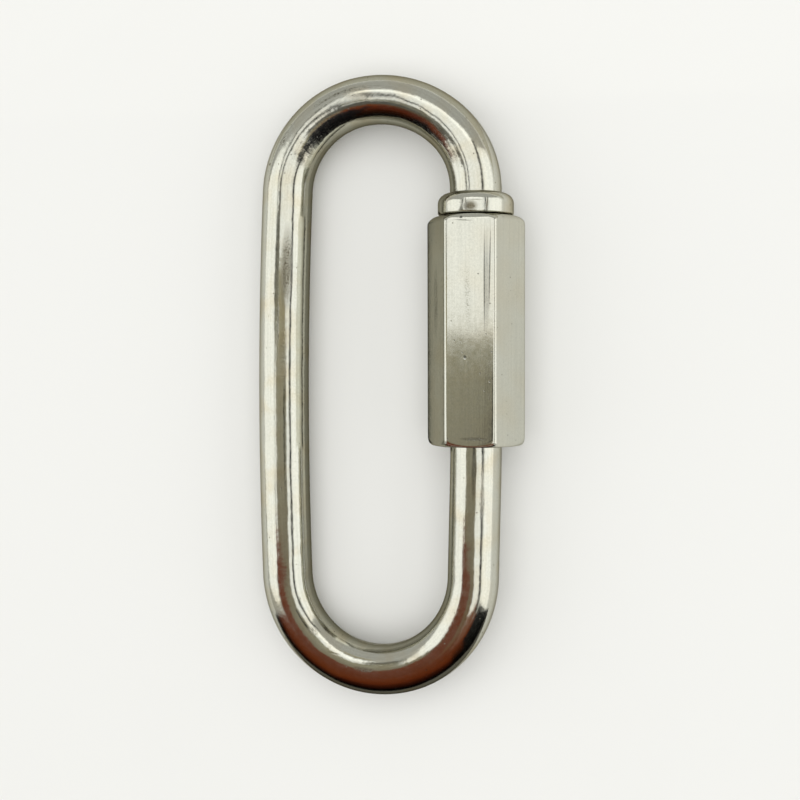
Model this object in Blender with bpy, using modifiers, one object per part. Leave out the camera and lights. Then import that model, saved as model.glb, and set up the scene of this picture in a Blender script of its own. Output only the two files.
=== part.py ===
# Chain quick link: a bent steel rod with a long hexagonal sleeve nut that closes its jaw.
# Metres, +Z up. The link lies on a table: +Y runs along it, the nut's side is +X.
import math

import bmesh
import bpy
from mathutils import Matrix, Vector

MM = 0.001

# The rod
WIRE_DIAMETER = 6.0 * MM
LEG_SPACING = 23.2 * MM          # nut axis to the top of the plain leg
PLAIN_LEG_LENGTH = 46.1 * MM
PLAIN_LEG_BOW = math.radians(4.8)
PLAIN_LEG_LEAN = math.radians(0.3)
TOP_NUT_SIDE_RADIUS = 10.3 * MM
TOP_NUT_SIDE_TURN = math.radians(44.5)
TOP_CROWN_TURN = math.radians(54.5)
TOP_LEG_SIDE_RADIUS = 10.95 * MM
BOTTOM_LEG_SIDE_RADIUS = 11.5 * MM
BOTTOM_LEG_SIDE_TURN = math.radians(52.5)
BOTTOM_CROWN_TURN = math.radians(91.5)
BOTTOM_NUT_SIDE_RADIUS = 11.9 * MM
LOWER_LEG_LEAN = math.radians(1.4)
LEAN_RUN = 4.0 * MM              # length over which the lower leg takes its lean
TOP_DRAW_DOWN = 0.03             # share of its thickness that the rod loses in the top bend
BOTTOM_DRAW_DOWN = 0.01
ROD_END_CHAMFER = 0.25 * MM

# The thread on both ends of the rod
THREAD_DEPTH = 0.61 * MM
UPPER_THREAD_LENGTH = 3.5 * MM
JAW_GAP = 7.5 * MM
THREAD_END_CHAMFER = 0.45 * MM
SUNK_LENGTH = 1.0 * MM           # how far a turned end reaches into the rod that it is one with
SUNK_SKIN = 0.1 * MM             # the reaching end stays this far under the rod's surface

# The collar that is swaged on the rod above the nut
COLLAR_DIAMETER = 9.0 * MM
COLLAR_HEIGHT = 2.75 * MM
COLLAR_FOOT_ROUND = 0.5 * MM
NECK_ABOVE_COLLAR = 0.1 * MM     # straight rod between the collar and the bend

# The sleeve nut
NUT_ACROSS_FLATS = 10.0 * MM
NUT_LENGTH = 26.5 * MM
NUT_TOP_SHOULDER = 1.5 * MM
NUT_FOOT_SHOULDER = 1.0 * MM
NUT_EDGE_ROUNDING = 0.29 * MM
NUT_END_MARGIN = 0.15 * MM       # the rounded end form stands this far off the corners
BORE_LEAD_IN = 0.35 * MM

# Clearances
SEAT_GAP = 0.3 * MM              # nut to collar when shut, nut to rod when fully open
THREAD_CLEARANCE = 0.3 * MM      # on the radius, between the rod's thread and the nut's
SLEEVE_CLEARANCE = 0.4 * MM      # on the radius, between the plain rod and the nut's wide bore

# Fineness of the round faces
ROD_BEVEL_RESOLUTION = 10
TURNED_STEPS = 32
NUT_STEPS = 48
BEND_STEP = math.radians(6.0)
STRAIGHT_STEPS = 6
SHOULDER_ARC_STEPS = 6
EDGE_SEGMENTS = 4
SMOOTH_UP_TO = math.radians(35.0)
MERGE_DISTANCE = 0.001 * MM
CUT_BEYOND = 1.0 * MM            # a bore's cutter runs this far past the nut

# Sizes that follow
wire_radius = WIRE_DIAMETER / 2
thread_middle = wire_radius - THREAD_DEPTH / 2
rod_thread_radius = thread_middle - THREAD_CLEARANCE / 2
nut_bore_radius = thread_middle + THREAD_CLEARANCE / 2
sleeve_bore_radius = wire_radius + SLEEVE_CLEARANCE
nut_corner_radius = NUT_ACROSS_FLATS / math.sqrt(3.0)
nut_travel = UPPER_THREAD_LENGTH + JAW_GAP

# Heights along the nut's axis, from the start of the top bend down
collar_top = -NECK_ABOVE_COLLAR
collar_foot = collar_top - COLLAR_HEIGHT
nut_top = collar_foot - SEAT_GAP
nut_foot = nut_top - NUT_LENGTH
upper_thread_end = nut_top - UPPER_THREAD_LENGTH
lower_thread_end = upper_thread_end - JAW_GAP
lower_thread_start = nut_foot


def arc_offset(radius, start, end):
    """The way from the start of an arc to its end, for a heading that turns left."""
    return Vector((radius * (math.sin(end) - math.sin(start)),
                   radius * (math.cos(start) - math.cos(end))))


def rod_route():
    """Centre line of the rod in the link's own plane, from the collar round to the lower thread.

    It is a list of (point, heading, thickness share). The nut's axis is x = 0 and the top bend
    starts at y = 0. The crown radii follow from the leg spacing, so both ends share one axis.
    """
    up = math.radians(90.0)
    down = math.radians(270.0)
    h1 = up + TOP_NUT_SIDE_TURN
    h2 = h1 + TOP_CROWN_TURN
    h3 = down - PLAIN_LEG_LEAN - PLAIN_LEG_BOW / 2
    h4 = down - PLAIN_LEG_LEAN + PLAIN_LEG_BOW / 2
    h5 = h4 + BOTTOM_LEG_SIDE_TURN
    h6 = h5 + BOTTOM_CROWN_TURN
    h8 = up + math.radians(360.0)
    h7 = h8 - LOWER_LEG_LEAN

    sides = arc_offset(TOP_NUT_SIDE_RADIUS, up, h1) + arc_offset(TOP_LEG_SIDE_RADIUS, h2, h3)
    top_crown_radius = (-LEG_SPACING - sides.x) / arc_offset(1.0, h1, h2).x
    leg_radius = PLAIN_LEG_LENGTH / PLAIN_LEG_BOW
    lean_radius = LEAN_RUN / LOWER_LEG_LEAN

    # the bottom crown and the straight above it close the way back to the nut's axis
    done = sides + arc_offset(top_crown_radius, h1, h2) + arc_offset(leg_radius, h3, h4)
    done += arc_offset(BOTTOM_LEG_SIDE_RADIUS, h4, h5) + arc_offset(BOTTOM_NUT_SIDE_RADIUS, h6, h7)
    done += arc_offset(lean_radius, h7, h8)
    left = Vector((0.0, lower_thread_start)) - done
    across = arc_offset(1.0, h5, h6)
    ahead = Vector((math.cos(h7), math.sin(h7)))
    det = across.x * ahead.y - across.y * ahead.x
    bottom_crown_radius = (left.x * ahead.y - left.y * ahead.x) / det
    straight = (across.x * left.y - across.y * left.x) / det

    route = [(Vector((0.0, (collar_top + collar_foot) / 2)), up, 1.0), (Vector((0.0, 0.0)), up, 1.0)]

    def arc(radius, start, end, bend=None):
        origin = route[-1][0]
        count = math.ceil((end - start) / BEND_STEP) if bend else STRAIGHT_STEPS
        for i in range(1, count + 1):
            heading = start + (end - start) * i / count
            share = 1.0
            if bend:
                first, last, draw_down = bend
                share -= draw_down * math.sin(math.pi * (heading - first) / (last - first))
            route.append((origin + arc_offset(radius, start, heading), heading, share))

    top_bend = (up, h3, TOP_DRAW_DOWN)
    arc(TOP_NUT_SIDE_RADIUS, up, h1, top_bend)
    arc(top_crown_radius, h1, h2, top_bend)
    arc(TOP_LEG_SIDE_RADIUS, h2, h3, top_bend)
    arc(leg_radius, h3, h4)
    bottom_bend = (h4, h7, BOTTOM_DRAW_DOWN)
    arc(BOTTOM_LEG_SIDE_RADIUS, h4, h5, bottom_bend)
    arc(bottom_crown_radius, h5, h6, bottom_bend)
    arc(BOTTOM_NUT_SIDE_RADIUS, h6, h7, bottom_bend)
    route.append((route[-1][0] + straight * ahead, h7, 1.0))
    arc(lean_radius, h7, h8)
    return route


def new_collection(name):
    collection = bpy.data.collections.new(name)
    bpy.context.scene.collection.children.link(collection)
    return collection


def steel(name, colour, roughness):
    material = bpy.data.materials.new(name)
    material.use_nodes = True
    shader = material.node_tree.nodes["Principled BSDF"]
    shader.inputs["Base Color"].default_value = (*colour, 1.0)
    shader.inputs["Metallic"].default_value = 1.0
    shader.inputs["Roughness"].default_value = roughness
    return material


def place(obj, collection, parent, location=(0.0, 0.0, 0.0), rotation=(0.0, 0.0, 0.0)):
    collection.objects.link(obj)
    obj.parent = parent
    obj.location = location
    obj.rotation_euler = rotation
    return obj


def empty(name, collection, location, rotation=(0.0, 0.0, 0.0)):
    return place(bpy.data.objects.new(name, None), collection, None, location, rotation)


def as_cutter(obj):
    obj.hide_render = True
    obj.display_type = "WIRE"
    return obj


def turned(name, profile, steps):
    """A solid of revolution about local Z from an outline of (radius, height), top to bottom."""
    mesh = bpy.data.meshes.new(name)
    edges = [(i, i + 1) for i in range(len(profile) - 1)]
    mesh.from_pydata([(radius, 0.0, height) for radius, height in profile], edges, [])
    obj = bpy.data.objects.new(name, mesh)
    screw = obj.modifiers.new("turn", "SCREW")
    screw.axis = "Z"
    screw.steps = steps
    screw.render_steps = steps
    screw.use_merge_vertices = True
    screw.merge_threshold = MERGE_DISTANCE
    return obj


def boolean(obj, name, operation, other):
    modifier = obj.modifiers.new(name, "BOOLEAN")
    modifier.operation = operation
    modifier.solver = "EXACT"
    modifier.object = other


def smooth(mesh):
    mesh.shade_smooth()
    mesh.set_sharp_from_angle(angle=SMOOTH_UP_TO)


def quarter_round(centre_radius, centre_height, radius, upper):
    """Points of a rounded shoulder, from its flat face out to its widest point, or back."""
    points = []
    for i in range(SHOULDER_ARC_STEPS + 1):
        angle = math.radians(90.0) * i / SHOULDER_ARC_STEPS
        if upper:
            points.append((centre_radius + radius * math.sin(angle),
                           centre_height + radius * math.cos(angle)))
        else:
            points.append((centre_radius + radius * math.cos(angle),
                           centre_height - radius * math.sin(angle)))
    return points


def collar_profile():
    """Collar and upper thread, from inside the rod down to the thread's chamfered end."""
    rim = COLLAR_DIAMETER / 2
    sunk = wire_radius - SUNK_SKIN
    round_top = rim - wire_radius
    profile = [(0.0, collar_top + SUNK_LENGTH), (sunk, collar_top + SUNK_LENGTH),
               (sunk, collar_top)]
    profile += quarter_round(wire_radius, collar_top - round_top, round_top, True)
    profile += quarter_round(rim - COLLAR_FOOT_ROUND, collar_foot + COLLAR_FOOT_ROUND,
                             COLLAR_FOOT_ROUND, False)
    profile += [(rod_thread_radius, collar_foot),
                (rod_thread_radius, upper_thread_end + THREAD_END_CHAMFER),
                (rod_thread_radius - THREAD_END_CHAMFER, upper_thread_end),
                (0.0, upper_thread_end)]
    return profile


def lower_thread_profile():
    """Lower thread, from its chamfered end down to where it is one with the rod."""
    root = lower_thread_start - SUNK_LENGTH
    return [(0.0, lower_thread_end),
            (rod_thread_radius - THREAD_END_CHAMFER, lower_thread_end),
            (rod_thread_radius, lower_thread_end - THREAD_END_CHAMFER),
            (rod_thread_radius, root),
            (0.0, root)]


def rod_mesh(collection, parent):
    """The bent rod, swept along its route and turned from a curve into a mesh."""
    route = rod_route()
    curve = bpy.data.curves.new("rod", "CURVE")
    curve.dimensions = "3D"
    curve.bevel_depth = wire_radius
    curve.bevel_resolution = ROD_BEVEL_RESOLUTION
    curve.use_fill_caps = True
    last, heading, _ = route[-1]
    before = last - ROD_END_CHAMFER * Vector((math.cos(heading), math.sin(heading)))
    stations = [(point, share) for point, _, share in route[:-1]]
    stations += [(before, 1.0), (last, 1.0 - ROD_END_CHAMFER / wire_radius)]
    spline = curve.splines.new("POLY")
    spline.points.add(len(stations) - 1)
    for station, (point, scale) in zip(spline.points, stations):
        station.co = (point.x, point.y, 0.0, 1.0)
        station.radius = scale
    swept = place(bpy.data.objects.new("rod_curve", curve), collection, parent)
    bpy.context.view_layer.update()
    evaluated = swept.evaluated_get(bpy.context.evaluated_depsgraph_get())
    mesh = bpy.data.meshes.new_from_object(evaluated)
    bpy.data.objects.remove(swept)
    shape = bmesh.new()
    shape.from_mesh(mesh)
    bmesh.ops.remove_doubles(shape, verts=shape.verts, dist=MERGE_DISTANCE)
    bmesh.ops.recalc_face_normals(shape, faces=shape.faces)
    shape.to_mesh(mesh)
    shape.free()
    return mesh


def build_link_body(parts, cutters, plane, finish):
    """Rod, collar and both threads as the one piece that they are."""
    upright = (math.radians(-90.0), 0.0, 0.0)
    body = bpy.data.objects.new("link_body", rod_mesh(parts, plane))
    place(body, parts, plane)
    body.data.materials.append(finish)
    for name, profile in (("collar_end", collar_profile()), ("lower_end", lower_thread_profile())):
        end = as_cutter(turned(name, profile, TURNED_STEPS))
        place(end, cutters, plane, rotation=upright)
        end.data.materials.append(finish)
        boolean(body, name, "UNION", end)
    smooth(body.data)
    return body


def nut_envelope_profile():
    """The turned form that rounds both ends of the hexagon."""
    full = nut_corner_radius + NUT_END_MARGIN
    profile = [(0.0, NUT_LENGTH)]
    profile += quarter_round(full - NUT_TOP_SHOULDER, NUT_LENGTH - NUT_TOP_SHOULDER,
                             NUT_TOP_SHOULDER, True)
    profile += quarter_round(full - NUT_FOOT_SHOULDER, NUT_FOOT_SHOULDER, NUT_FOOT_SHOULDER, False)
    profile.append((0.0, 0.0))
    return profile


def nut_bore_profile():
    """Threaded bore above, wide sleeve bore below, both with a lead-in."""
    step = nut_travel + SEAT_GAP
    return [(0.0, NUT_LENGTH + CUT_BEYOND),
            (nut_bore_radius + BORE_LEAD_IN + CUT_BEYOND, NUT_LENGTH + CUT_BEYOND),
            (nut_bore_radius, NUT_LENGTH - BORE_LEAD_IN),
            (nut_bore_radius, step + sleeve_bore_radius - nut_bore_radius),
            (sleeve_bore_radius, step),
            (sleeve_bore_radius, BORE_LEAD_IN),
            (sleeve_bore_radius + BORE_LEAD_IN + CUT_BEYOND, -CUT_BEYOND),
            (0.0, -CUT_BEYOND)]


def build_sleeve_nut(parts, cutters, slide, finish):
    """Hexagon bar with rounded corners, its ends turned round and its bore cut through."""
    shape = bmesh.new()
    flats_level = Matrix.Rotation(math.radians(30.0), 4, "Z")
    bmesh.ops.create_cone(shape, cap_ends=True, segments=6, radius1=nut_corner_radius,
                          radius2=nut_corner_radius, depth=NUT_LENGTH,
                          matrix=Matrix.Translation((0.0, 0.0, NUT_LENGTH / 2)) @ flats_level)
    corners = [edge for edge in shape.edges
               if abs(edge.verts[0].co.z - edge.verts[1].co.z) > NUT_LENGTH / 2]
    bmesh.ops.bevel(shape, geom=corners, offset=NUT_EDGE_ROUNDING, segments=EDGE_SEGMENTS,
                    profile=0.5, affect="EDGES")
    mesh = bpy.data.meshes.new("sleeve_nut")
    shape.to_mesh(mesh)
    shape.free()
    nut = place(bpy.data.objects.new("sleeve_nut", mesh), parts, slide)
    nut.data.materials.append(finish)
    envelope = as_cutter(turned("nut_envelope", nut_envelope_profile(), NUT_STEPS))
    bore = as_cutter(turned("nut_bore", nut_bore_profile(), NUT_STEPS))
    for cutter, operation in ((envelope, "INTERSECT"), (bore, "DIFFERENCE")):
        place(cutter, cutters, slide)
        cutter.data.materials.append(finish)
        boolean(nut, cutter.name, operation, cutter)
    smooth(nut.data)
    return nut


def main():
    for obj in list(bpy.data.objects):
        bpy.data.objects.remove(obj)
    parts = new_collection("chain_quick_link")
    cutters = new_collection("cutters")

    # the link rests on one flat of the nut and on the outermost point of the bowed leg
    points = [point for point, _, _ in rod_route()]
    reach = -min(point.x for point in points)
    nut_height = NUT_ACROSS_FLATS / 2
    roll = math.asin((nut_height - wire_radius) / reach)
    right = nut_corner_radius - NUT_EDGE_ROUNDING * math.tan(math.radians(15.0))
    left = reach * math.cos(roll) + wire_radius
    nut_x = (left - right) / 2
    nut_y = -(max(point.y for point in points) + min(point.y for point in points)) / 2

    plane = empty("link_plane", parts, (nut_x, nut_y, nut_height), (0.0, -roll, 0.0))
    slide = empty("nut_slide", parts, (nut_x, nut_y + nut_foot, nut_height),
                  (math.radians(-90.0), 0.0, 0.0))
    build_link_body(parts, cutters, plane, steel("polished_steel_rod", (0.60, 0.58, 0.53), 0.2))
    build_sleeve_nut(parts, cutters, slide, steel("polished_steel_nut", (0.64, 0.63, 0.58), 0.22))


main()
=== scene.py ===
import math

import bpy
from mathutils import Matrix, Vector


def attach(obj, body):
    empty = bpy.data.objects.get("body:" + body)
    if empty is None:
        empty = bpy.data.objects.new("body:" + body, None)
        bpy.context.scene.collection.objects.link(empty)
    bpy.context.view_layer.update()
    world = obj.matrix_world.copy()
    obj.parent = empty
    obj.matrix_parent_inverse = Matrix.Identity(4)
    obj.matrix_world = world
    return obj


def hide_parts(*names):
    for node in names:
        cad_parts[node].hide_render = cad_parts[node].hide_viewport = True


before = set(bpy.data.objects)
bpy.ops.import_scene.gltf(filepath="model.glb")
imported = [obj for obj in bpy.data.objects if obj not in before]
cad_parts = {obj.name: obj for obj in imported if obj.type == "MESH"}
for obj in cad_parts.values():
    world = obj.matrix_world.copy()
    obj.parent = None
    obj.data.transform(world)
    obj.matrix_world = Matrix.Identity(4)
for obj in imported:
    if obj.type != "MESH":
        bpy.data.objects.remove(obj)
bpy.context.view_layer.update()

mm = 0.001
deg = math.pi / 180
weldGap = 0.0005 * mm
cutGap = 0.00001 * mm     # far finer than the weld, or a cut through a thread stays open
levelGap = 0.001 * mm
turnDown = Matrix.Rotation(-90 * deg, 4, "X")    # from standing along Z to lying along Y

# The link's own plane: the nut's axis runs along Y, and heights are counted from the start of
# the top bend. The rod is rolled about that axis, so that it rests on its plain leg.
lie = {"place": (10.5117 * mm, 22.8062 * mm, 5.0 * mm), "roll": 4.8205 * deg}

rod = {
    "radius": 3.0 * mm,
    "around": 128,
    # radius, turn and number of rings of each bend, from the collar round to the lower thread
    "topNutSide": (10.3 * mm, 44.5 * deg, 24),
    "topCrown": (12.6731 * mm, 54.5 * deg, 32),
    "topLegSide": (10.95 * mm, 78.3 * deg, 44),
    "plainLeg": (550.278 * mm, 4.8 * deg, 44),
    "bottomLegSide": (11.5 * mm, 52.5 * deg, 30),
    "bottomCrown": (11.5385 * mm, 91.5 * deg, 52),
    "bottomNutSide": (11.9 * mm, 32.5 * deg, 18),
    "lean": (163.702 * mm, 1.4 * deg, 6),
    "underNut": (11.5217 * mm, 10),     # straight length and its rings
    "topThin": 0.045,                   # share of its thickness that the rod loses in the bend
    "bottomThin": 0.01,
    "endChamfer": 0.28 * mm,
    "smoothBelow": 30 * deg,
}

collar = {
    "top": -0.42 * mm, "foot": -3.0 * mm, "radius": 4.42 * mm,
    "shoulder": 1.25 * mm, "shoulderTurn": 86 * deg, "footRound": 0.28 * mm, "arcSteps": 14,
    "crease": 0.09 * mm, "creaseFlatness": 0.7, "creaseTurn": (250 * deg, 180 * deg, 5),
}

thread = {
    "pitch": 1.0 * mm, "crest": 2.94 * mm, "root": 2.4 * mm,
    "crestFlat": 0.13 * mm, "rootFlat": 0.25 * mm, "steps": 64,
    "upper": (-6.65 * mm, -2.6 * mm), "lower": (-30.2 * mm, -14.15 * mm),
    "chamfer": 0.6 * mm, "clearance": 0.12 * mm,
}

nut = {
    "acrossFlats": 10.0 * mm, "foot": -29.65 * mm, "top": -3.15 * mm,
    "around": 480, "corner": 0.5 * mm, "soften": 0.14 * mm,
    "topShoulder": 1.5 * mm, "footShoulder": 1.0 * mm, "arcSteps": 30, "margin": 0.15 * mm,
    "topRoll": 0.75 * mm, "rollIn": 0.4 * mm,    # how the flats roll in at the top
    "footBlend": 2.6 * mm, "footSoften": 0.6 * mm,    # how the corners widen towards the foot
    "sleeveRadius": 3.4 * mm, "sleeveDepth": 11.8 * mm, "leadIn": 0.5 * mm,
    "sleeveCone": 0.25 * mm, "tapRunOut": 0.7 * mm, "boreSlack": 0.01 * mm, "boreAround": 96,
    "sideSteps": 8, "core": 1.0 * mm, "beyond": 1.0 * mm,
    "smoothBelow": 35 * deg,
}


def pickOnly(obj):
    if bpy.context.object and bpy.context.object.mode != "OBJECT":
        bpy.ops.object.mode_set(mode="OBJECT")
    bpy.ops.object.select_all(action="DESELECT")
    if obj:
        obj.select_set(True)
        bpy.context.view_layer.objects.active = obj


def drawOutline(name, points):
    # one vertex, from a plane that is merged, then extruded from point to point
    pickOnly(None)
    bpy.ops.mesh.primitive_plane_add(size=1 * mm)
    obj = bpy.context.object
    obj.name = obj.data.name = name
    bpy.ops.object.mode_set(mode="EDIT")
    bpy.ops.mesh.merge(type="CENTER")
    bpy.ops.transform.translate(value=(points[0][0], 0, points[0][1]))
    for (r0, h0), (r1, h1) in zip(points, points[1:]):
        bpy.ops.mesh.extrude_region_move(TRANSFORM_OT_translate={"value": (r1 - r0, 0, h1 - h0)})
    bpy.ops.object.mode_set(mode="OBJECT")
    return obj


def weld():
    bpy.ops.mesh.select_all(action="SELECT")
    bpy.ops.mesh.remove_doubles(threshold=weldGap)
    bpy.ops.mesh.normals_make_consistent(inside=False)
    bpy.ops.object.mode_set(mode="OBJECT")


def turnOutline(name, points, around):
    # a turned solid, closed where its outline meets the axis
    obj = drawOutline(name, points)
    bpy.ops.object.mode_set(mode="EDIT")
    bpy.ops.mesh.select_all(action="SELECT")
    bpy.ops.mesh.spin(steps=around, angle=360 * deg, center=(0, 0, 0), axis=(0, 0, 1))
    weld()
    return obj


def turnArc(centreR, centreH, reachR, reachH, start, end, steps):
    angles = [start + (end - start) * i / steps for i in range(steps + 1)]
    return [(centreR + reachR * math.cos(a), centreH + reachH * math.sin(a)) for a in angles]


def windThread(name, root, crest, low, high):
    # one pitch of outline is wound up into a screw, then cut level at both ends
    pitch, half, flat = thread["pitch"], thread["crestFlat"] / 2, thread["rootFlat"] / 2
    start = math.floor(low / pitch) - 2
    outline = [(root, 0), (root, flat), (crest, pitch / 2 - half), (crest, pitch / 2 + half),
               (root, pitch - flat), (root, pitch)]
    obj = drawOutline(name, [(r, h + start * pitch) for r, h in outline])
    bpy.ops.object.modifier_add(type="SCREW")
    wind = obj.modifiers[-1]
    wind.axis = "Z"
    wind.screw_offset = pitch
    wind.steps = wind.render_steps = thread["steps"]
    wind.iterations = math.ceil(high / pitch) + 2 - start
    bpy.ops.object.modifier_apply(modifier=wind.name)
    bpy.ops.object.mode_set(mode="EDIT")
    bpy.ops.mesh.select_all(action="SELECT")
    bpy.ops.mesh.remove_doubles(threshold=weldGap)
    for height, above in ((high, True), (low, False)):
        bpy.ops.mesh.select_all(action="SELECT")
        bpy.ops.mesh.bisect(plane_co=(0, 0, height), plane_no=(0, 0, 1), use_fill=True,
                            clear_outer=above, clear_inner=not above, threshold=cutGap)
    weld()
    return obj


def chamferThread(obj, end):
    # vertices near the end are drawn in to a 45 degree cone
    for v in obj.data.vertices:
        past = thread["chamfer"] - abs(v.co.z - end)
        r = math.hypot(v.co.x, v.co.y)
        if past > 0 and r > thread["crest"] - past:
            v.co.x *= (thread["crest"] - past) / r
            v.co.y *= (thread["crest"] - past) / r


def noteStraightBar(obj, places):
    # where each point was on the straight bar, in millimetres: the draw lines follow it
    field = obj.data.attributes.new("straightBar", "FLOAT_VECTOR", "POINT")
    for v, place in zip(obj.data.vertices, places):
        field.data[v.index].vector = place / mm


def makeCollar():
    c, r = collar, rod["radius"]
    outline = [(0, c["foot"])]
    outline += turnArc(c["radius"] - c["footRound"], c["foot"] + c["footRound"],
                       c["footRound"], c["footRound"], -90 * deg, 0, c["arcSteps"])
    outline += turnArc(r, c["top"] - c["shoulder"], c["radius"] - r, c["shoulder"],
                       0, c["shoulderTurn"], 2 * c["arcSteps"])
    creaseHeight = c["crease"] * c["creaseFlatness"]
    outline += turnArc(r + c["crease"], c["top"] + creaseHeight, c["crease"], creaseHeight,
                       *c["creaseTurn"])
    outline.append((r, 0))
    return turnOutline("bent_rod", outline, rod["around"])


def bendRod(obj):
    # the ring at the head of the collar is picked, and the rod is spun on from it
    obj.data.transform(turnDown)
    for v in obj.data.vertices:
        v.select = abs(v.co.y) < levelGap
    for part in list(obj.data.edges) + list(obj.data.polygons):
        part.select = False
    for edge in obj.data.edges:
        edge.select = all(obj.data.vertices[i].select for i in edge.vertices)
    first = len(obj.data.vertices)
    bpy.ops.object.mode_set(mode="EDIT")
    point, heading = Vector((0, 0, 0)), 90 * deg
    rings = []

    def bend(radius, turn, steps, place=""):
        nonlocal point, heading
        centre = point + radius * Vector((-math.sin(heading), math.cos(heading), 0))
        bpy.ops.mesh.spin(steps=steps, angle=-turn, center=centre, axis=(0, 0, 1))
        for i in range(1, steps + 1):
            h = heading + turn * i / steps
            at = centre + radius * Vector((math.sin(h), -math.cos(h), 0))
            rings.append({"at": at, "heading": h, "place": place, "step": radius * turn / steps})
        heading += turn
        point = rings[-1]["at"]

    def push(length, shrink=1.0):
        nonlocal point
        ahead = length * Vector((math.cos(heading), math.sin(heading), 0))
        bpy.ops.mesh.extrude_region_move(TRANSFORM_OT_translate={"value": ahead})
        point = point + ahead
        bpy.ops.transform.resize(value=(shrink, shrink, shrink), center_override=point)
        rings.append({"at": point, "heading": heading, "place": "", "step": length})

    bend(*rod["topNutSide"], "top")
    bend(*rod["topCrown"], "top")
    bend(*rod["topLegSide"], "top")
    bend(*rod["plainLeg"])
    bend(*rod["bottomLegSide"], "bottom")
    bend(*rod["bottomCrown"], "bottom")
    bend(*rod["bottomNutSide"], "bottom")
    length, count = rod["underNut"]
    for i in range(count):
        push(length / count)
    bend(*rod["lean"])
    push(rod["endChamfer"], 1 - rod["endChamfer"] / rod["radius"])
    bpy.ops.mesh.edge_face_add()
    bpy.ops.mesh.select_all(action="SELECT")
    bpy.ops.mesh.normals_make_consistent(inside=False)
    bpy.ops.object.mode_set(mode="OBJECT")
    return first, rings


def drawInBends(obj, first, rings):
    # the rod thins a little where it was bent
    places = [v.co.copy() for v in obj.data.vertices]
    along, count = 0.0, rod["around"]
    for k, ring in enumerate(rings):
        along += ring["step"]
        share = 1.0
        if ring["place"]:
            same = [other["heading"] for other in rings if other["place"] == ring["place"]]
            part = (ring["heading"] - min(same)) / (max(same) - min(same))
            share -= rod[ring["place"] + "Thin"] * math.sin(math.pi * part)
        side = Vector((math.sin(ring["heading"]), -math.cos(ring["heading"]), 0))
        for v in obj.data.vertices[first + k * count:first + (k + 1) * count]:
            away = v.co - ring["at"]
            across = away.dot(side)
            places[v.index] = Vector((across, along, away.z))
            v.co = ring["at"] + across * share * side + Vector((0, 0, away.z))
    noteStraightBar(obj, places)


def makeLink():
    obj = makeCollar()
    first, rings = bendRod(obj)
    drawInBends(obj, first, rings)
    ends = []
    for name, end in (("upper", 0), ("lower", 1)):
        low, high = thread[name]
        screw = windThread(name + "_thread", thread["root"], thread["crest"], low, high)
        chamferThread(screw, thread[name][end])
        screw.data.transform(turnDown)
        noteStraightBar(screw, [v.co.copy() for v in screw.data.vertices])
        ends.append(screw)
    pickOnly(obj)
    for screw in ends:
        screw.select_set(True)
    bpy.ops.object.join()
    obj.rotation_euler = (0, -lie["roll"], 0)
    obj.location = lie["place"]
    bpy.ops.object.transform_apply(location=True, rotation=True, scale=True)
    bpy.ops.object.shade_smooth_by_angle(angle=rod["smoothBelow"])
    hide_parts("link_body")
    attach(obj, "link")
    print("bent rod: vertices", len(obj.data.vertices))
    return obj


def hexagonReach(angle):
    # how far the rounded hexagon reaches from the axis, for an angle from a flat's middle
    flat, corner = nut["acrossFlats"] / 2, nut["corner"]
    if flat * math.tan(angle) < (flat - corner) * math.tan(30 * deg):
        return flat / math.cos(angle)
    centre = (flat - corner) / math.cos(30 * deg)
    turn = 30 * deg - angle
    return centre * math.cos(turn) + math.sqrt(corner ** 2 - (centre * math.sin(turn)) ** 2)


def softLess(a, b, width):
    near = max(width - abs(a - b), 0) / width
    return min(a, b) - near * near * width / 4


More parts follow.
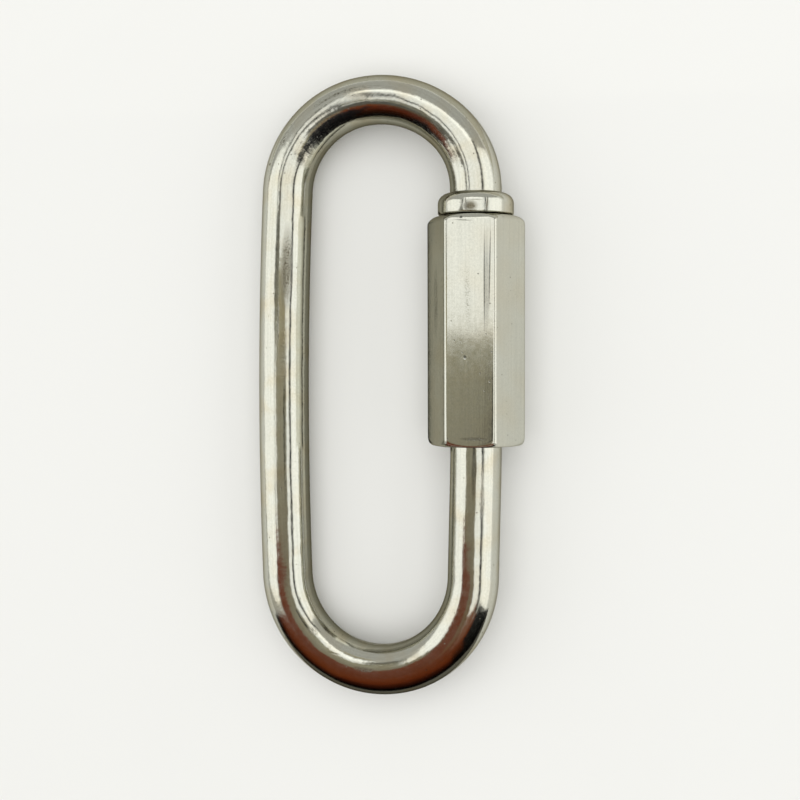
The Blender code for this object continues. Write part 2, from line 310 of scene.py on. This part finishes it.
def makeNut():
    n = nut
    full = n["acrossFlats"] / math.sqrt(3) + n["margin"]
    low, high = n["foot"], n["top"]
    outline = [(0, low)]
    outline += turnArc(full - n["footShoulder"], low + n["footShoulder"], n["footShoulder"],
                       n["footShoulder"], -90 * deg, 0, n["arcSteps"])
    sides = n["sideSteps"]
    outline += [(full, low + (high - low) * i / sides) for i in range(1, sides)]
    outline += turnArc(full - n["topShoulder"], high - n["topShoulder"], n["topShoulder"],
                       n["topShoulder"], 0, 90 * deg, n["arcSteps"])
    outline.append((0, high))
    obj = turnOutline("hexagon_sleeve", outline, n["around"])

    # the turned blank is drawn in to a hexagon with softened edges
    for v in obj.data.vertices:
        r = math.hypot(v.co.x, v.co.y)
        if r < n["core"]:
            continue
        angle = math.atan2(v.co.y, v.co.x) + 360 * deg
        angle = abs(angle % (60 * deg) - 30 * deg)
        nearTop = max((v.co.z - high) / n["topRoll"] + 1, 0)
        nearFoot = max((low - v.co.z) / n["footBlend"] + 1, 0)
        reach = softLess(r, hexagonReach(angle) - n["rollIn"] * nearTop ** 2,
                         n["soften"] + n["footSoften"] * nearFoot ** 2)
        v.co.x *= reach / r
        v.co.y *= reach / r

    # the plain sleeve and the bore are drilled in one, then the bore is tapped
    inside = thread["root"] + thread["clearance"]
    bore = inside + n["boreSlack"]
    step, lead, beyond = low + n["sleeveDepth"], n["leadIn"], n["beyond"]
    drill = turnOutline("drill", [
        (0, low - beyond), (n["sleeveRadius"] + lead + beyond, low - beyond),
        (n["sleeveRadius"], low + lead), (n["sleeveRadius"], step - n["sleeveCone"]),
        (bore, step), (bore, high - lead),
        (inside + lead + beyond, high + beyond), (0, high + beyond)], n["boreAround"])
    tap = windThread("tap", inside, thread["crest"] + thread["clearance"],
                     step - n["tapRunOut"], high + beyond)
    for tool in (drill, tap):
        pickOnly(obj)
        bpy.ops.object.modifier_add(type="BOOLEAN")
        cut = obj.modifiers[-1]
        cut.operation = "DIFFERENCE"
        cut.solver = "EXACT"
        cut.object = tool
        bpy.ops.object.modifier_apply(modifier=cut.name)
        bpy.data.objects.remove(tool)
    obj.data.transform(turnDown)
    obj.location = lie["place"]
    bpy.ops.object.transform_apply(location=True, rotation=True, scale=True)
    bpy.ops.object.shade_smooth_by_angle(angle=n["smoothBelow"])
    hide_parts("sleeve_nut")
    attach(obj, "nut")
    print("sleeve nut: vertices", len(obj.data.vertices))
    return obj


def linearColour(text):
    parts = [int(text[i:i + 2], 16) / 255 for i in (1, 3, 5)]
    return [c / 12.92 if c < 0.04045 else ((c + 0.055) / 1.055) ** 2.4 for c in parts] + [1.0]


def addNode(tree, kind, values=None, links=None, **settings):
    node = tree.nodes.new(kind)
    for name, value in settings.items():
        setattr(node, name, value)
    for socket, value in (values or {}).items():
        node.inputs[socket].default_value = value
    for socket, source in (links or {}).items():
        tree.links.new(source, node.inputs[socket])
    return node


drawnRod = {
    "name": "drawnStainlessRod",    # lines from the drawing die run round with the bend
    "wave": (0.34, 0.00006),        # one swell in 3 mm, and its height in metres
    "peel": (2.1, 0.000007),        # orange peel from tumbling, 0.5 mm across
    # die lines 0.3 mm apart and 11 mm long: real ones are nearer 0.05 mm, too fine to show here
    "lines": ((3.6, 0.09, 3.6), 0.000004),
    "pits": (0.95, 0.085),          # cells per millimetre and how far a pit reaches in its cell
    "film": 0.5,
    "wearAndPaintedShadeColour": "#6A6452",
    # centre and reach in millimetres of straight bar, turn, strength, share of dots
    "marks": [
        ((1.05, 21.9, 2.8), (0.24, 3.4, 0.8), 3.3 * deg, 1.0, 0.75),      # dotted scratch
        ((1.1, 20.5, 2.8), (0.5, 6.0, 0.8), 0, 0.5, 1.0),
        ((1.36, 29.6, 2.67), (0.55, 1.3, 0.8), 0, 0.8, 1.0),              # pitted patch
        ((1.92, 32.4, 2.31), (0.17, 0.2, 0.5), 0, 0.9, 0.0),
        ((-1.5, 89.4, 2.59), (0.5, 0.9, 0.6), 0, 0.7, 1.0),
        ((-0.45, 97.8, 2.96), (0.35, 1.6, 0.6), 0, 0.75, 0.6),            # smear on the bend
        ((-1.05, 93.4, 2.8), (0.14, 1.0, 0.5), 12 * deg, 0.5, 0.5),
        ((1.4, 125.9, 2.65), (0.4, 2.2, 0.6), 0, 0.45, 0.8),
        ((-1.2, 44.2, 2.75), (0.85, 5.6, 0.8), 0, 1.0, 0.35),             # painted reflection: a dark tan band on the leg
        ((-0.95, 55.0, 2.84), (0.5, 5.5, 0.6), 0, 0.35, 1.0),
        ((0.76, -2.36, 4.35), (0.21, 0.21, 0.5), 0, 1.0, 0.0),            # pit on the collar
        ((0.35, -2.3, 4.4), (0.95, 0.75, 0.6), 0, 1.0, 0.1),
        ((0.85, -1.62, 4.3), (1.1, 0.08, 0.8), 0, 0.6, 0.3),
        ((-0.2, -2.1, 4.4), (0.1, 0.95, 0.5), 4 * deg, 0.75, 0.3),
        ((2.15, -2.1, 3.86), (0.13, 1.1, 0.5), -4 * deg, 1.0, 0.1),
        ((0.42, 129.3, 2.97), (0.3, 3.4, 0.6), 0, 0.65, 0.4),             # smear below the nut
        ((1.36, 127.3, 2.68), (0.09, 2.9, 0.6), 0, 0.8, 0.2),
    ],
}

drawnHexagon = {
    "name": "drawnHexagonStainless",    # bright flats with lines along the sleeve
    "wave": (0.22, 0.00002),
    "peel": (2.3, 0.000003),
    "lines": ((4.2, 0.07, 4.2), 0.000003),    # coarser than real ones, as on the rod
    "pits": (0.8, 0.075),
    "film": 0.25,
    "wearAndPaintedShadeColour": "#65655F",
    # the same, in millimetres from the start of the nut's axis
    "marks": [
        ((-1.01, -3.6, 4.95), (0.2, 0.2, 0.5), 0, 0.95, 0.0),             # nick at the top edge
        ((-0.8, -3.95, 5.0), (1.25, 0.09, 0.5), -4 * deg, 0.7, 0.2),
        ((1.63, -10.8, 5.0), (0.12, 6.8, 0.5), 0, 0.85, 0.2),             # painted reflection: dark lines down the flat beside the corner
        ((2.22, -9.6, 5.0), (0.11, 5.6, 0.5), -1.2 * deg, 0.85, 0.2),
        ((1.92, -10.8, 5.0), (0.36, 6.6, 0.5), 0, 0.45, 0.3),
        ((-0.56, -19.4, 5.0), (0.2, 0.26, 0.5), 0, 0.85, 0.0),
        ((-0.3, -12.0, 5.0), (0.5, 4.5, 0.5), 2 * deg, 0.2, 1.0),
        ((0.54, -28.65, 5.0), (1.9, 0.24, 0.7), 0, 0.75, 0.5),            # painted shade: a dark line where the foot turns in
        ((-4.3, -13.0, 2.5), (0.6, 5.0, 1.2), 0, 0.3, 1.0),
    ],
}


finish = {
    "clean": "#CECEC2", "straw": "#C9BD9F",
    "rim": "#AAA69A",               # what steel turns to at its rims, greyer than its face
    "grain": 5.5,                   # grains per millimetre
    "detail": {"wave": 1.5, "peel": 2.5, "grain": 2.0, "lines": 3.0},
    "spread": (0.3, 0.7),           # the part of a noise that is drawn out to its full range
    "pitCore": 0.4, "markCore": 0.35,    # shares of the reach within which they are full
    "dots": (0.5, 0.6),             # where grain breaks a mark up into dots
    "strawFrom": (0.45, 0.75),
    "paintedGrooveShade": (2.35, 2.9, 0.45),    # thread root, crest and the painted shade at the root
    "speckle": 0.9, "streak": 0.91,
    "gloss": (0.11, 0.17), "markMatt": 0.12,
    "markDepth": 0.000015,
}


def drawnSteel(s, attribute=None):
    # tumble-polished: orange peel and small pits lie over the lines of drawing
    f = finish
    material = bpy.data.materials.new(s["name"])
    material.use_nodes = True
    tree = material.node_tree
    shader = tree.nodes["Principled BSDF"]
    if attribute:
        source = addNode(tree, "ShaderNodeAttribute", attribute_name=attribute)
        mapped = addNode(tree, "ShaderNodeMapping", links={"Vector": source.outputs["Vector"]})
    else:
        source = addNode(tree, "ShaderNodeTexCoord")
        mapped = addNode(tree, "ShaderNodeMapping",
                         {"Location": lie["place"], "Scale": (mm, mm, mm)},
                         {"Vector": source.outputs["Object"]}, vector_type="TEXTURE")
    bar = mapped.outputs["Vector"]

    wave = addNode(tree, "ShaderNodeTexNoise",
                   {"Scale": s["wave"][0], "Detail": f["detail"]["wave"]}, {"Vector": bar})
    peel = addNode(tree, "ShaderNodeTexNoise",
                   {"Scale": s["peel"][0], "Detail": f["detail"]["peel"]}, {"Vector": bar})
    grain = addNode(tree, "ShaderNodeTexNoise",
                    {"Scale": f["grain"], "Detail": f["detail"]["grain"]}, {"Vector": bar})
    long = addNode(tree, "ShaderNodeMapping", {"Scale": s["lines"][0]}, {"Vector": bar})
    lines = addNode(tree, "ShaderNodeTexNoise", {"Scale": 1.0, "Detail": f["detail"]["lines"]},
                    {"Vector": long.outputs["Vector"]})
    wave, peel, grain, lines = (noise.outputs["Fac"] for noise in (wave, peel, grain, lines))
    cells = addNode(tree, "ShaderNodeTexVoronoi", {"Scale": s["pits"][0]}, {"Vector": bar})
    pits = addNode(tree, "ShaderNodeMapRange",
                   {"From Min": s["pits"][1], "From Max": s["pits"][1] * f["pitCore"]},
                   {"Value": cells.outputs["Distance"]})
    dots = addNode(tree, "ShaderNodeMapRange",
                   {"From Min": f["dots"][0], "From Max": f["dots"][1]}, {"Value": grain})

    # single marks, each an ellipsoid in bar coordinates, some of them broken up into dots
    wearAndPaintedShade = pits.outputs["Result"]
    for centre, reach, turn, strength, dotted in s["marks"]:
        inside = addNode(tree, "ShaderNodeMapping",
                         {"Location": centre, "Rotation": (0, 0, turn), "Scale": reach},
                         {"Vector": bar}, vector_type="TEXTURE")
        away = addNode(tree, "ShaderNodeVectorMath", links={0: inside.outputs["Vector"]},
                       operation="LENGTH")
        mark = addNode(tree, "ShaderNodeMapRange",
                       {"From Min": 1.0, "From Max": f["markCore"], "To Max": strength},
                       {"Value": away.outputs["Value"]})
        share = addNode(tree, "ShaderNodeMapRange", {"To Min": 1 - dotted},
                        {"Value": dots.outputs["Result"]})
        kept = addNode(tree, "ShaderNodeMath",
                       links={0: mark.outputs["Result"], 1: share.outputs["Result"]},
                       operation="MULTIPLY")
        wearAndPaintedShade = addNode(tree, "ShaderNodeMath", links={0: wearAndPaintedShade, 1: kept.outputs["Value"]},
                       operation="MAXIMUM").outputs["Value"]

    # a straw film where the wave is high, and the marks' darker colour: wear on most, painted shade
    # and painted reflection on a few
    film = addNode(tree, "ShaderNodeMapRange",
                   {"From Min": f["strawFrom"][0], "From Max": f["strawFrom"][1],
                    "To Max": s["film"]}, {"Value": wave})
    clean = addNode(tree, "ShaderNodeMix",
                    {"A": linearColour(f["clean"]), "B": linearColour(f["straw"])},
                    {"Factor": film.outputs["Result"]}, data_type="RGBA")
    stained = addNode(tree, "ShaderNodeMix", {"B": linearColour(s["wearAndPaintedShadeColour"])},
                      {"A": clean.outputs["Result"], "Factor": wearAndPaintedShade}, data_type="RGBA")

    # painted shade darkens the thread grooves; grain and die lines are darker than the metal round
    # them
    split = addNode(tree, "ShaderNodeSeparateXYZ", links={"Vector": bar})
    flat = addNode(tree, "ShaderNodeCombineXYZ",
                   links={"X": split.outputs["X"], "Z": split.outputs["Z"]})
    depth = addNode(tree, "ShaderNodeVectorMath", links={0: flat.outputs["Vector"]},
                    operation="LENGTH")
    root, crest, paintedRootShade = f["paintedGrooveShade"]
    paintedGrooveShade = addNode(tree, "ShaderNodeMapRange",
                     {"From Min": root, "From Max": crest, "To Min": paintedRootShade},
                     {"Value": depth.outputs["Value"]})
    low, high = f["spread"]
    shade = paintedGrooveShade.outputs["Result"]
    for noise, least in ((grain, f["speckle"]), (lines, f["streak"])):
        part = addNode(tree, "ShaderNodeMapRange",
                       {"From Min": low, "From Max": high, "To Min": least}, {"Value": noise})
        shade = addNode(tree, "ShaderNodeMath", links={0: shade, 1: part.outputs["Result"]},
                        operation="MULTIPLY").outputs["Value"]
    colour = addNode(tree, "ShaderNodeVectorMath",
                     links={0: stained.outputs["Result"], "Scale": shade}, operation="SCALE")
    tree.links.new(colour.outputs["Vector"], shader.inputs["Base Color"])

    gloss = addNode(tree, "ShaderNodeMapRange",
                    {"From Min": low, "From Max": high, "To Min": f["gloss"][0],
                     "To Max": f["gloss"][1]}, {"Value": peel})
    matt = addNode(tree, "ShaderNodeMath", {1: f["markMatt"]},
                   {0: wearAndPaintedShade, 2: gloss.outputs["Result"]}, operation="MULTIPLY_ADD")
    tree.links.new(matt.outputs["Value"], shader.inputs["Roughness"])
    shader.inputs["Metallic"].default_value = 1.0
    shader.inputs["Specular Tint"].default_value = linearColour(f["rim"])

    relief = None
    for height, deep, sunk in ((wave, s["wave"][1], False), (peel, s["peel"][1], False),
                               (lines, s["lines"][1], False), (wearAndPaintedShade, f["markDepth"], True)):
        links = {"Height": height, "Normal": relief} if relief else {"Height": height}
        relief = addNode(tree, "ShaderNodeBump", {"Distance": deep}, links,
                         invert=sunk).outputs["Normal"]
    tree.links.new(relief, shader.inputs["Normal"])
    print(s["name"], "nodes", len(tree.nodes))
    return material


link = makeLink()
link.data.materials.clear()
link.data.materials.append(drawnSteel(drawnRod, "straightBar"))
sleeve = makeNut()
sleeve.data.materials.clear()
sleeve.data.materials.append(drawnSteel(drawnHexagon))

studio = {
    # direction from the link as zenith and azimuth angles, distance, width, height, brightness
    "leftSoftbox": ("ELLIPSE", 59 * deg, 178 * deg, 0.5, 0.40, 0.56, 0.93),
    "rightSoftbox": ("RECTANGLE", 69 * deg, 1 * deg, 0.5, 0.66, 0.43, 0.97),
    "topPanel": ("RECTANGLE", 0, 0, 0.6, 0.80, 0.92, 1.25),
    "topPanelCentre": (0.055, 0.10),
    "world": "#C4C4C0",
    "floor": "#E2E2E0", "floorSize": 3.0, "floorRoughness": 0.85,
    "oneSided": ("innerBrown", "innerGrey", "innerBlack", "innerRed", "nutSide"),
    # what only the steel reflects: centre, turn, width and depth, then colour from far to near
    "cards": {
        "ceiling": ((0.06, 0.0, 0.75), (0, 0, 0), (1.1, 1.0), ["#5F5F58", "#5F5F58"]),
        "overhead": ((-0.0105, -0.0453, 0.080), (0, 0, 0), (0.067, 0.1047),
                     ["#A9A48E", "#9C9784", "#8A826E", "#7A6850", "#735034", "#73381C", "#6E3618"]),
        "brownSlope": ((-0.0331, -0.0629, 0.079), (0, 0, -6 * deg), (0.062, 0.066),
                       ["#73381C", "#6E3618"]),
        "brownRight": ((0.0415, -0.077, 0.079), (0, 0, 0), (0.037, 0.042), ["#8C6048", "#7B4934"]),
        "overheadCorner": ((-0.046, 0.019, 0.0805), (0, 0, 27 * deg), (0.032, 0.024),
                           ["#55534C", "#6A685E", "#8A877A", "#97947F"]),
        "overheadLow": ((-0.0105, 0.0112, 0.040), (0, 0, 0), (0.019, 0.0115),
                        ["#AEA68C", "#AEA68C"]),
        # low cards inside the eye, which only the top bend looks at
        "innerBrown": ((-0.0118, 0.022, 0.0165), (90 * deg, 0, 180 * deg), (0.010, 0.016),
                       ["#6E4020", "#7A3A1C", "#6A3216", "#2A1006"]),
        "innerGrey": ((-0.0175, 0.022, 0.034), (90 * deg, 0, 180 * deg), (0.020, 0.020),
                      ["#5D5B54", "#5D5B54"]),
        "innerBlack": ((-0.0045, 0.0225, 0.013), (90 * deg, 0, 180 * deg), (0.0046, 0.0155),
                       ["#1E2024", "#030303"]),
        "innerRed": ((-0.0021, 0.0275, 0.0155), (90 * deg, 0, 180 * deg), (0.0038, 0.018),
                     ["#6A6A62", "#5A5A52", "#55534A", "#55534A", "#62594A", "#5E4A34",
                      "#5E2813", "#5E2813", "#301206", "#0A0604"]),
        # painted reflection of the nut's bright flank and painted shade for its dark underside, as
        # the plain leg meets them
        "nutSide": ((0.003, 0.0065, 0.0052), (90 * deg, 0, -90 * deg), (0.029, 0.0092),
                    ["#FFFFF4", "#FFFFF4", "#FFFFF4", "#FFFFF4", "#FFFFF4",
                     "#E4E2D2", "#CECCBE", "#BEBCAE", "#8A887A"]),
        "nutShade": ((0.0010, 0.0065, 0.0006), (0, 0, 0), (0.0040, 0.029), ["#2E2C24", "#2E2C24"]),
        "smallFlag": ((0.009, -0.008, 0.079), (0, 0, 0), (0.008, 0.020), ["#080808", "#080808"]),
        "leftGap": ((-0.128, 0.04, 0.40), (0, 0, 14 * deg), (0.034, 0.40), ["#000000", "#000000"]),
        "rightGap": ((0.120, 0.02, 0.148), (0, 35 * deg, 0), (0.022, 0.26), ["#000000", "#000000"]),
        # low walls round the bottom bend, brown above and black at the floor
        "lowLeft": ((-0.027, -0.049, 0.020), (90 * deg, 0, -42 * deg), (0.030, 0.042),
                    ["#73381C", "#73381C", "#73381C", "#73381C",
                     "#6A3216", "#4A2010", "#050302", "#020202"]),
        "lowMiddle": ((0, -0.053, 0.017), (90 * deg, 0, 0), (0.036, 0.036),
                      ["#73381C", "#73381C", "#73381C", "#6A2E14",
                       "#3A160A", "#040201", "#020202"]),
        "lowRight": ((0.025, -0.050, 0.017), (90 * deg, 0, 37 * deg), (0.022, 0.036),
                     ["#73381C", "#6A3216", "#5E2C14", "#3A1A0C", "#0C0603", "#030303", "#020202"]),
        "lowCorner": ((0.028, -0.043, 0.0135), (90 * deg, 0, 51 * deg), (0.016, 0.027),
                      ["#1A1A18", "#020202"]),
        # painted shade: cards for the shaded floor, as the rims of the eye meet it
        "eye": ((-0.001, 0.001, 0.0002), (0, 0, 0), (0.019, 0.060),
                ["#8E8C80", "#CECCC0", "#CECCC0", "#CECCC0", "#8E8C80"]),
        "floorNorth": ((0, 0.066, 0.0002), (0, 0, 0), (0.12, 0.064), ["#D0CEC2", "#D0CEC2"]),
        "floorSouth": ((0, -0.066, 0.0002), (0, 0, 0), (0.066, 0.058), ["#74726A", "#74726A"]),
        "eyeLeft": ((-0.0078, 0.001, 0.0004), (0, 0, 0), (0.006, 0.056), ["#8E8C80", "#8E8C80"]),
        "eyeRight": ((0.0065, -0.018, 0.0004), (0, 0, 0), (0.005, 0.022), ["#8E8C80", "#8E8C80"]),
    },
}


def makeFloor():
    pickOnly(None)
    bpy.ops.mesh.primitive_plane_add(size=studio["floorSize"])
    floor = bpy.context.object
    floor.name = "floor"
    material = bpy.data.materials.new("palePaper")
    material.use_nodes = True
    shader = material.node_tree.nodes["Principled BSDF"]
    shader.inputs["Base Color"].default_value = linearColour(studio["floor"])
    shader.inputs["Roughness"].default_value = studio["floorRoughness"]
    floor.data.materials.append(material)


def makeSoftbox(name):
    shape, zenith, azimuth, distance, width, height, brightness = studio[name]
    data = bpy.data.lights.new(name, "AREA")
    data.shape = shape
    data.size, data.size_y = width, height
    area = width * height * (math.pi / 4 if shape == "ELLIPSE" else 1)
    data.energy = brightness * math.pi * area
    lamp = bpy.data.objects.new(name, data)
    away = Vector((math.sin(zenith) * math.cos(azimuth), math.sin(zenith) * math.sin(azimuth),
                   math.cos(zenith)))
    lamp.location = distance * away
    if zenith:
        lamp.rotation_euler = away.to_track_quat("Z", "Y").to_euler()
    else:
        lamp.location = (*studio["topPanelCentre"], distance)
    bpy.context.scene.collection.objects.link(lamp)


def makeCard(name):
    # only the steel's reflections meet it, and its colour runs from one edge to the other
    place, turn, size, colours = studio["cards"][name]
    pickOnly(None)
    bpy.ops.mesh.primitive_plane_add(size=1, location=place, rotation=turn)
    card = bpy.context.object
    card.name = name
    card.scale = (*size, 1)
    card.visible_camera = card.visible_diffuse = card.visible_shadow = False
    material = bpy.data.materials.new(name)
    material.use_nodes = True
    tree = material.node_tree
    tree.nodes.clear()
    where = addNode(tree, "ShaderNodeTexCoord")
    split = addNode(tree, "ShaderNodeSeparateXYZ", links={"Vector": where.outputs["Object"]})
    across = addNode(tree, "ShaderNodeMath", {1: 0.5}, {0: split.outputs["Y"]}, operation="ADD")
    shades = addNode(tree, "ShaderNodeValToRGB", links={"Fac": across.outputs["Value"]})
    while len(shades.color_ramp.elements) < len(colours):
        shades.color_ramp.elements.new(0.5)
    for i, colour in enumerate(reversed(colours)):
        shades.color_ramp.elements[i].position = i / (len(colours) - 1)
        shades.color_ramp.elements[i].color = linearColour(colour)
    glow = addNode(tree, "ShaderNodeEmission", links={"Color": shades.outputs["Color"]})
    surface = glow.outputs["Emission"]
    if name in studio["oneSided"]:
        clear = addNode(tree, "ShaderNodeBsdfTransparent")
        side = addNode(tree, "ShaderNodeNewGeometry")
        surface = addNode(tree, "ShaderNodeMixShader", links={
            0: side.outputs["Backfacing"], 1: surface, 2: clear.outputs["BSDF"]}).outputs["Shader"]
    addNode(tree, "ShaderNodeOutputMaterial", links={"Surface": surface})
    card.data.materials.append(material)


makeFloor()
for name in ("leftSoftbox", "rightSoftbox", "topPanel"):
    makeSoftbox(name)
for name in studio["cards"]:
    makeCard(name)

print("studio: cards", len(studio["cards"]))

view = {
    "place": (31.83 * mm, 3.28 * mm, 161.0 * mm), "turn": (-1.787 * deg, 11.0 * deg, -0.146 * deg),
    "lens": 60.75, "sensor": 36, "near": 5 * mm,
}
cameraData = bpy.data.cameras.new("camera")
cameraData.sensor_width = view["sensor"]
cameraData.lens = view["lens"]
cameraData.clip_start = view["near"]
camera = bpy.data.objects.new("camera", cameraData)
camera.location = view["place"]
camera.rotation_euler = view["turn"]
bpy.context.scene.collection.objects.link(camera)
bpy.context.scene.camera = camera

world = bpy.data.worlds.new("studio")
world.use_nodes = True
world.node_tree.nodes["Background"].inputs["Color"].default_value = linearColour(studio["world"])
world.node_tree.nodes["Background"].inputs["Strength"].default_value = 1.0
bpy.context.scene.world = world

bpy.context.scene.view_settings.view_transform = "Standard"
